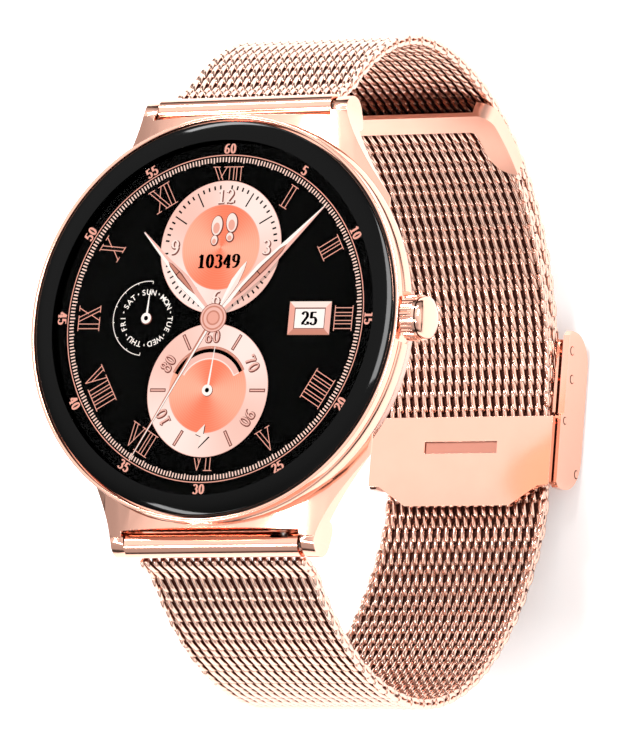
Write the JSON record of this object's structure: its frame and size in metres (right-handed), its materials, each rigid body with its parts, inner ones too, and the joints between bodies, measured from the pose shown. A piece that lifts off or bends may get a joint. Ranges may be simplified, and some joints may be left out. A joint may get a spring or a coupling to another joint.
{
  "type": "smartwatch",
  "caption": "Round smartwatch with rose-gold case, turning crown, mesh band and fold-over clasp, band closed.",
  "frame": {"origin": "on the flat outer face of the clasp cover, straight below the centre of the dial", "axes": "+Z out of the dial, +Y towards 12 o'clock, +X towards the crown at 3 o'clock"},
  "size_m": [0.0466, 0.0716, 0.0665],
  "materials": {
    "rose_polished": "polished rose-gold plating",
    "rose_satin": "satin rose-gold plating",
    "rose_mesh": "woven rose-gold wire",
    "cover_glass": "clear",
    "display": "black gloss",
    "seal_rubber": "matte",
    "dark_plastic": "matte",
    "steel": "turned",
    "brass": "turned",
    "gold_contact": "plated",
    "circuit_board": "solder mask",
    "battery_foil": "foil pouch"
  },
  "bodies": {
    "head": {"case_body": "rose_polished", "cover_glass": "cover_glass", "bezel_ring": "rose_polished", "glass_gasket": "seal_rubber", "display_panel": "display", "display_frame": "dark_plastic", "case_back": "rose_polished", "sensor_window": "display", "charge_contact_left": "gold_contact", "charge_contact_right": "gold_contact", "back_screw_1": "steel", "back_screw_2": "steel", "back_screw_3": "steel", "back_screw_4": "steel", "main_board": "circuit_board", "sensor_board": "circuit_board", "battery": "battery_foil", "vibration_motor": "steel", "speaker": "dark_plastic", "processor_shield": "steel", "crown_tube": "brass", "crown_switch": "steel"},
    "crown_rotor": {"encoder_wheel": "dark_plastic"},
    "crown": {"crown_knob": "rose_satin", "crown_cap": "rose_polished", "crown_stem": "steel", "stem_clip": "steel"},
    "upper_strap": {"upper_mesh": "rose_mesh", "upper_end_bar": "rose_polished", "upper_spring_bar": "steel", "end_bracket": "rose_polished"},
    "lower_strap": {"lower_mesh": "rose_mesh", "lower_end_bar": "rose_polished", "lower_spring_bar": "steel", "tail_tip": "rose_polished", "clasp_frame": "rose_polished", "cover_hinge_pin": "steel", "guide_rail_left": "rose_satin", "guide_rail_right": "rose_satin", "lock_pivot_left": "steel", "lock_pivot_right": "steel", "rail_rivet_left_1": "steel", "rail_rivet_left_2": "steel", "rail_rivet_right_1": "steel", "rail_rivet_right_2": "steel"},
    "clasp_cover": {"clasp_cover": "rose_polished"},
    "lock_plate": {"lock_plate": "rose_polished"},
    "upper_release": {"upper_release_pin": "steel"},
    "lower_release": {"lower_release_pin": "steel"}
  },
  "joints": [
    {"name": "crown_turn", "type": "hinge", "parent": "head", "child": "crown_rotor", "pos_m": [0.0176, 0, 0.0638], "axis": [1, 0, 0], "continuous": true},
    {"name": "crown_press", "type": "slide", "parent": "crown_rotor", "child": "crown", "axis": [-1, 0, 0], "range_m": [0, 0.0002], "stiffness_N_per_m": 800, "springref_m": -0.0005},
    {"name": "clasp_open", "type": "hinge", "parent": "lower_strap", "child": "clasp_cover", "pos_m": [0, -0.0047, 0.0013], "axis": [-1, 0, 0], "range_deg": [0, 120]},
    {"name": "upper_strap_swing", "type": "hinge", "parent": "head", "child": "upper_strap", "pos_m": [0, 0.02325, 0.0614], "axis": [1, 0, 0], "range_deg": [0, 30]},
    {"name": "lower_strap_swing", "type": "hinge", "parent": "head", "child": "lower_strap", "pos_m": [0, -0.02325, 0.0614], "axis": [-1, 0, 0], "range_deg": [0, 15]},
    {"name": "lock_plate_lift", "type": "hinge", "parent": "lower_strap", "child": "lock_plate", "pos_m": [0, 0.0006, 0.005], "axis": [-1, 0, 0], "range_deg": [0, 40]},
    {"name": "upper_pin_release", "type": "slide", "parent": "upper_strap", "child": "upper_release", "axis": [-1, 0, 0], "range_m": [0, 0.0009], "stiffness_N_per_m": 900, "springref_m": -0.0005},
    {"name": "lower_pin_release", "type": "slide", "parent": "lower_strap", "child": "lower_release", "axis": [-1, 0, 0], "range_m": [0, 0.0009], "stiffness_N_per_m": 900, "springref_m": -0.0005}
  ],
  "couplings": [
    {"joint": "upper_strap_swing", "follows": "clasp_open", "ratio": 0.25},
    {"joint": "lower_strap_swing", "follows": "clasp_open", "ratio": 0.125}
  ]
}
